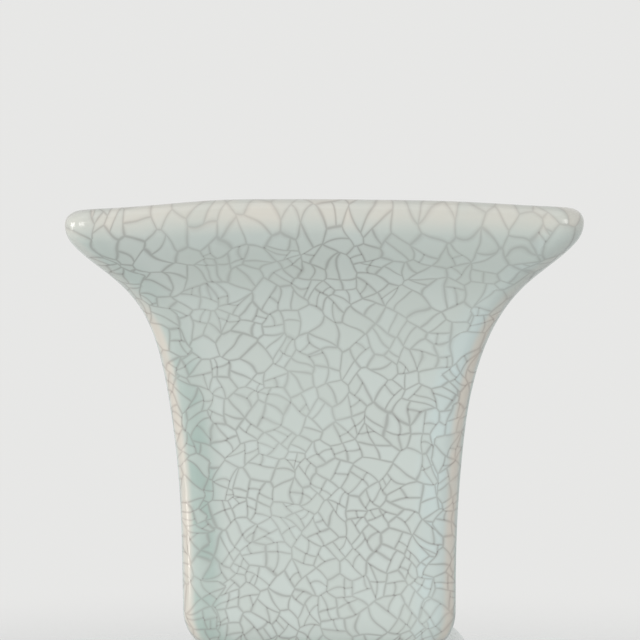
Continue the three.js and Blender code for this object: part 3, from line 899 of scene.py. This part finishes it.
def craze_group():
    """Crackle as real glaze has it: wide old cells, cut in two, and the parts cut again and again.

    The old cells are a flat Voronoi net over a face's width and run. The corners have a net of their
    own, over the way around and run, and its cells whose centre lies near the corner cover those of
    the faces. Their outer edge is the distance to the plane halfway to the second nearest centre.
    Each cut is a bowed line near the middle of its part, close to a right angle with the cut before,
    so the cracks meet in T-junctions as real ones do."""
    group = bpy.data.node_groups.new("craze", "ShaderNodeTree")
    face = group.interface
    face.new_socket("Place", in_out="INPUT", socket_type="NodeSocketVector")
    defaults = {
        "Run": 0.0, "Around": 0.0, "Lip Run": -1.0, "Corner Reach mm": 4.0, "Old Cell mm": 4.6,
        "Bend mm": 1.3, "Bend Size mm": 8.0,
    }
    for label, value in defaults.items():
        face.new_socket(label, in_out="INPUT", socket_type="NodeSocketFloat").default_value = value
    for label in ("Old Gap mm", "Young Gap mm", "Tint"):
        face.new_socket(label, in_out="OUTPUT", socket_type="NodeSocketFloat")
    given = add_node(group, "NodeGroupInput").outputs

    # Short words for the group's sums: total is first times factor plus second.
    def vector(operation, first, second=(0, 0, 0)):
        node = add_node(group, "ShaderNodeVectorMath", {0: first, 1: second}, operation=operation)
        return node.outputs

    def scaled(first, factor):
        node = add_node(group, "ShaderNodeVectorMath", {0: first, "Scale": factor}, operation="SCALE")
        return node.outputs[0]

    def join(x, y, z):
        return add_node(group, "ShaderNodeCombineXYZ", {0: x, 1: y, 2: z}).outputs[0]

    def split(place):
        return add_node(group, "ShaderNodeSeparateXYZ", {0: place}).outputs

    def number(operation, first, second=0.0):
        return math_node(group, operation, first, second)

    def total(first, factor, second):
        return number("ADD", number("MULTIPLY", first, factor), second)

    def choose(share, zero, one):
        return add_node(group, "ShaderNodeMix", {0: share, "A": zero, "B": one}).outputs[0]

    def cells(place, feature="F1"):
        return add_node(group, "ShaderNodeTexVoronoi", {
            "Vector": place, "Scale": number("DIVIDE", 1000.0, given["Old Cell mm"]),
            "Randomness": NET_RANDOMNESS,
        }, voronoi_dimensions="2D", feature=feature).outputs

    def net(along, offset):
        """The turned plane of a net. Each side and corner has its own offset, so its own cells."""
        return add_node(group, "ShaderNodeVectorRotate", {
            "Vector": join(number("ADD", along, offset), run, 0.0), "Angle": NET_ANGLE,
        }, rotation_type="Z_AXIS").outputs[0]

    plan = split(given["Place"])
    solid = join(plan[0], plan[1], given["Run"])
    noise = add_node(group, "ShaderNodeTexNoise", {
        "Vector": solid, "Scale": number("DIVIDE", 1000.0, given["Bend Size mm"]), "Detail": 0.5,
    })
    bend = vector("SUBTRACT", noise.outputs["Color"], (0.5, 0.5, 0.5))[0]
    bend = split(scaled(bend, number("MULTIPLY", given["Bend mm"], BEND_GAIN * MM)))
    run = number("ADD", given["Run"], bend[2])

    on_front = number("GREATER_THAN", number("ABSOLUTE", plan[1]), number("ABSOLUTE", plan[0]))
    left_right, front_back = number("SIGN", plan[0]), number("SIGN", plan[1])
    width = choose(on_front, number("ADD", plan[1], bend[1]), number("ADD", plan[0], bend[0]))
    side = choose(
        on_front, number("MULTIPLY", left_right, SIDE_OFFSETS[0]),
        number("MULTIPLY", front_back, SIDE_OFFSETS[1]),
    )
    corner = total(left_right, CORNER_OFFSETS[0], total(front_back, *CORNER_OFFSETS[1:]))
    face_net, corner_net = net(width, side), net(number("ADD", given["Around"], bend[0]), corner)

    nearest = cells(corner_net)["Position"]
    second = cells(corner_net, "F2")["Position"]
    level = (math.cos(NET_ANGLE), math.sin(NET_ANGLE), 0)

    from_middle = number("MINIMUM", number("ABSOLUTE", plan[0]), number("ABSOLUTE", plan[1]))
    off_middle = number("GREATER_THAN", from_middle, CORNER_NET_STOP)

    def on_corner(centre):
        """Whether the centre of a corner cell lies within the corner's reach of the mitre."""
        from_mitre = number("SUBTRACT", vector("DOT_PRODUCT", centre, level)["Value"], corner)
        reach = number("MULTIPLY", number("MULTIPLY", given["Corner Reach mm"], MM), off_middle)
        return number("LESS_THAN", number("ABSOLUTE", from_mitre), reach)

    covered = on_corner(nearest)
    sheet = add_node(group, "ShaderNodeMix", {
        0: covered, "A": face_net, "B": corner_net,
    }, data_type="VECTOR").outputs[1]
    halfway = scaled(vector("ADD", second, nearest)[0], 0.5)
    outwards = vector("NORMALIZE", vector("SUBTRACT", second, nearest)[0])[0]
    seam = vector("DOT_PRODUCT", vector("SUBTRACT", halfway, corner_net)[0], outwards)["Value"]
    seam = number("ADD", seam, number("SUBTRACT", 1.0, on_corner(second)))
    seam = number("ADD", seam, covered)

    old = cells(sheet)
    edge = cells(sheet, "DISTANCE_TO_EDGE")["Distance"]
    radius = cells(sheet, "N_SPHERE_RADIUS")["Radius"]
    old_gap = number("MULTIPLY", edge, number("MULTIPLY", given["Old Cell mm"], MM))
    old_gap = number("MINIMUM", old_gap, seam)

    density = clouds(group, old["Position"], DENSITY_SCALE)
    upright = (-math.sin(NET_ANGLE), math.cos(NET_ANGLE), 0)
    cell_run = vector("DOT_PRODUCT", old["Position"], upright)["Value"]
    from_lip = number("ABSOLUTE", number("SUBTRACT", cell_run, given["Lip Run"]))
    near_lip = number("MULTIPLY", number("LESS_THAN", from_lip, LIP_CELLS[0]), LIP_CELLS[1])
    lower_down = ramp(group, from_lip, *LOWER_CELLS, "LINEAR")
    density = number("SUBTRACT", density, 0.5)
    fineness = total(density, DENSITY_WEIGHT, number("ADD", near_lip, lower_down))
    neighbour = cells(old["Position"], "F2")["Position"]
    towards = vector("NORMALIZE", vector("SUBTRACT", neighbour, old["Position"])[0])[0]
    sideways = vector("CROSS_PRODUCT", towards, (0, 0, 1))[0]
    offset = vector("SUBTRACT", sheet, old["Position"])[0]
    across = vector("DOT_PRODUCT", offset, sideways)["Value"]
    ahead = vector("DOT_PRODUCT", offset, towards)["Value"]
    size = number("MULTIPLY", given["Old Cell mm"], MM)
    near_edge, far_edge = number("MULTIPLY", radius, size), number("MULTIPLY", size, FAR_EDGE_SHARE)
    ahead = number("SUBTRACT", ahead, number("MULTIPLY", number("SUBTRACT", near_edge, far_edge), 0.5))
    deep = number("MULTIPLY", number("ADD", near_edge, far_edge), 0.5)
    wide = total(size, CELL_WIDTH_SHARE, number("MULTIPLY", near_edge, 0.5))
    path, alive, young_gap = 1.0, 1.0, 1.0
    for cut, base_chance in enumerate(CUT_CHANCES):
        white = add_node(group, "ShaderNodeTexWhiteNoise", {
            "Vector": old["Color"], "W": path,
        }, noise_dimensions="4D").outputs
        chance = split(white["Color"])
        turn_range = FIRST_TURN if cut == 0 else LATER_TURN
        turn = number("MULTIPLY", number("SUBTRACT", chance[0], 0.5), turn_range)
        cosine, sine = number("COSINE", turn), number("SINE", turn)
        side = total(across, cosine, number("MULTIPLY", ahead, sine))
        ahead = number("SUBTRACT", number("MULTIPLY", ahead, cosine), number("MULTIPLY", across, sine))
        bow = number("DIVIDE", number("MULTIPLY", number("SUBTRACT", chance[1], 0.5), CUT_BOW), deep)
        side = total(number("MULTIPLY", ahead, ahead), bow, side)
        side = total(number("MULTIPLY", number("SUBTRACT", chance[2], 0.5), wide), CUT_SHIFT, side)
        cutting = number("LESS_THAN", white["Value"], number("ADD", fineness, base_chance))
        roomy = number("GREATER_THAN", wide, ROOM_TO_CUT)
        alive = number("MULTIPLY", alive, number("MULTIPLY", cutting, roomy))
        gap = number("ADD", number("ABSOLUTE", side), number("SUBTRACT", 1.0, alive))
        if cut == 0:
            old_gap = number("MINIMUM", old_gap, gap)
        else:
            young_gap = number("MINIMUM", young_gap, gap)
        beyond = number("GREATER_THAN", side, 0.0)
        path = total(alive, number("ADD", path, beyond), path)
        sign = number("SUBTRACT", number("MULTIPLY", beyond, 2.0), 1.0)
        side = number("SUBTRACT", side, number("MULTIPLY", number("MULTIPLY", sign, wide), 0.5))
        across, ahead = ahead, side
        wide, deep = deep, number("MULTIPLY", wide, 0.5)

    tint = add_node(group, "ShaderNodeTexWhiteNoise", {
        "Vector": old["Color"], "W": total(path, 2.0, TINT_DRAW),
    }, noise_dimensions="4D").outputs["Value"]
    add_node(group, "NodeGroupOutput", {
        "Old Gap mm": number("MULTIPLY", old_gap, 1000.0),
        "Young Gap mm": number("MULTIPLY", young_gap, 1000.0),
        "Tint": tint,
    })
    return group


craze = craze_group()

# The celadon's colours and stains. A crack has its narrow and wide half-width in mm, and its faint
# and strong stain. What runs by cell, cloud or stain has two marks and the level at each.
CLOUD_SCALE, STAIN_SCALE, RIPPLE_SCALE = 55.0, 160.0, 450.0
POOL_BY_CELL = (0.0, 1.0, 0.4, 1.15)
POOL_BY_CLOUD = (0.3, 0.6, 0.6, 1.0)
THIN_BY_CELL = (0.0, 1.0, -0.8, 0.7)
THIN_BY_STAIN = (0.25, 0.6, 0.75, 1.0)
BLUISH_BY_CELL = (0.3, 1.0, 0.05, 0.22)
TINT_BY_CELL = (0.0, 1.0, 0.98, 1.02)
WIDTH_MARKS = (0.3, 0.7)
STRENGTH_MARKS = (0.35, 0.65)
CELADON = ((0.555, 0.61, 0.57, 1), (0.59, 0.635, 0.605, 1))
BLUISH_CELL = (0.56, 0.63, 0.625, 1)
# The dark pool green also carries the painted shade on the left of each side, and the pale bluish pool
# colour is a painted sheen on the right of each side.
POOL_AND_SHADE_GREEN = (0.395, 0.495, 0.455, 1)
POOL_SHEEN_BLUISH = (0.56, 0.655, 0.65, 1)
THIN_CREAM = (0.675, 0.63, 0.56, 1)
STAIN_GREY = (0.29, 0.29, 0.275, 1)
STAIN_WARM = (0.42, 0.37, 0.33, 1)
OLD_CRACK = (0.33, 0.46, 0.4, 0.62)
YOUNG_CRACK = (0.31, 0.44, 0.35, 0.56)
HALO_BY_GAP = (0.05, 0.7, 0.2, 0.0)
CROSSING_STAIN = 0.6
RIPPLE_SHARE = 0.06
RELIEF_STRENGTH = 0.35
RELIEF_DEPTH = 0.03 * MM
GLAZE_ROUGHNESS = 0.15
GLAZE_IOR = 1.5


def celadon_material():
    """Pale grey-green glaze: cream where thin, blue-green where pooled, with grey stained cracks.

    The pooled band beside the corners is darker with painted shade on the left of each side, and
    a pale bluish painted sheen stands on the right of each side.
    """
    material, tree = new_material("crackled celadon glaze")
    place = add_node(tree, "ShaderNodeTexCoord").outputs["Object"]

    def from_mesh(label):
        return add_node(tree, "ShaderNodeAttribute", attribute_name=label).outputs["Fac"]

    thin, gathered_with_painted_light = from_mesh("thin"), from_mesh("pool_and_painted_light")
    cracks = add_node(tree, "ShaderNodeGroup", {
        "Place": place, "Run": from_mesh("run"), "Around": from_mesh("around"), "Lip Run": LIP_RUN,
    }, node_tree=craze).outputs
    cloud, stain = clouds(tree, place, CLOUD_SCALE), clouds(tree, place, STAIN_SCALE)
    by_cell = ramp(tree, cracks["Tint"], *POOL_BY_CELL, "LINEAR")
    by_cell = math_node(tree, "MULTIPLY", by_cell, ramp(tree, cloud, *POOL_BY_CLOUD))
    pool_and_painted_light = math_node(tree, "MULTIPLY", gathered_with_painted_light, by_cell, clamp=True)
    # Less than nothing is the pale bluish painted sheen on the right of each side.
    other_way = math_node(tree, "MULTIPLY", by_cell, -1.0)
    pale_pool_sheen = math_node(tree, "MULTIPLY", gathered_with_painted_light, other_way, clamp=True)
    partly = math_node(tree, "MULTIPLY", thin, math_node(tree, "SUBTRACT", 1.0, thin))
    lot = ramp(tree, cracks["Tint"], *THIN_BY_CELL, "LINEAR")
    thin = math_node(tree, "ADD", thin, math_node(tree, "MULTIPLY", partly, lot))
    thin = math_node(tree, "MULTIPLY", thin, ramp(tree, stain, *THIN_BY_STAIN), clamp=True)
    colour = choose_colour(tree, cloud, *CELADON)
    bluish = ramp(tree, cracks["Tint"], *BLUISH_BY_CELL, "LINEAR")
    colour = choose_colour(tree, bluish, colour, BLUISH_CELL)
    # Dark pooled green, deeper on the left of each side with painted shade, then the pale bluish painted
    # sheen.
    colour = choose_colour(tree, pool_and_painted_light, colour, POOL_AND_SHADE_GREEN)
    colour = choose_colour(tree, pale_pool_sheen, colour, POOL_SHEEN_BLUISH)
    colour = choose_colour(tree, thin, colour, THIN_CREAM)
    tint = ramp(tree, cracks["Tint"], *TINT_BY_CELL, "LINEAR")
    colour = add_node(tree, "ShaderNodeHueSaturation", {"Value": tint, "Color": colour}).outputs[0]

    def crack(gap, narrow, wide, faint, strong):
        """A line's core, from 1 at its middle to 0 at its edge, and the same by its strength."""
        core = ramp(tree, gap, 0.0, ramp(tree, stain, *WIDTH_MARKS, narrow, wide), 1.0, 0.0)
        strength = ramp(tree, cloud, *STRENGTH_MARKS, faint, strong)
        return core, math_node(tree, "MULTIPLY", core, strength)

    old_core, old = crack(cracks["Old Gap mm"], *OLD_CRACK)
    young_core, young = crack(cracks["Young Gap mm"], *YOUNG_CRACK)
    gap = math_node(tree, "MINIMUM", cracks["Old Gap mm"], cracks["Young Gap mm"])
    halo = ramp(tree, gap, *HALO_BY_GAP)
    dark = math_node(tree, "MAXIMUM", math_node(tree, "MAXIMUM", old, young), halo)
    crossing = math_node(tree, "MULTIPLY", old_core, young_core)
    crossing = math_node(tree, "MULTIPLY", crossing, CROSSING_STAIN)
    dark = math_node(tree, "ADD", dark, crossing, clamp=True)
    line = choose_colour(tree, thin, STAIN_GREY, STAIN_WARM)
    colour = choose_colour(tree, dark, colour, line)
    core = math_node(tree, "MAXIMUM", old_core, young_core)
    ripple = math_node(tree, "MULTIPLY", clouds(tree, place, RIPPLE_SCALE), RIPPLE_SHARE)
    bump = add_node(tree, "ShaderNodeBump", {
        "Height": math_node(tree, "SUBTRACT", ripple, core),
        "Strength": RELIEF_STRENGTH, "Distance": RELIEF_DEPTH,
    })
    surface = add_node(tree, "ShaderNodeBsdfPrincipled", {
        "Base Color": colour, "Roughness": GLAZE_ROUGHNESS, "IOR": GLAZE_IOR, "Normal": bump.outputs[0],
    })
    add_node(tree, "ShaderNodeOutputMaterial", {"Surface": surface.outputs[0]})
    return material


celadon = celadon_material()


def glaze_piece(name, node, path, edge_first):
    """A coat of the celadon over one path, fused to the one rigid body."""
    piece = coat(name, path, coat_thickness(path, edge_first), edge_first)
    piece.data.materials.append(celadon)
    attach(piece, "root")
    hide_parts(node)


glaze_piece("main_glaze", "glaze_coat", main_path, True)


# Foot's glaze: a second coat of the same glaze over the hollow of the foot and the underside of
# the floor. It was wiped back from the ring, which stays bare so that the vase doesn't stick.
def foot_coat_path():
    """The finished surface, from the middle of the ceiling outwards and down to the lower edge."""
    ceiling_z = FLOOR_UNDERSIDE - GLAZE_THICKNESS
    wall = moved(inner_wall(foot_profile), GLAZE_THICKNESS)
    under_fillet = wall[:, 1] < ceiling_z - FLOOR_FILLET
    wall = wall[under_fillet & (wall[:, 1] > BARE_FOOT_HEIGHT + GLAZE_EDGE_RISE)]
    ceiling = fillet_and_flat(wall[0, 0], ceiling_z, -1)[::-1]
    edge = rounded_edge(wall[-1, 0] + GLAZE_THICKNESS, BARE_FOOT_HEIGHT, -1)[::-1]
    return with_radius(np.vstack([ceiling, wall[1:], edge]), INNER_CORNER_RADIUS)


glaze_piece("foot_glaze", "underside_glaze", foot_coat_path(), False)
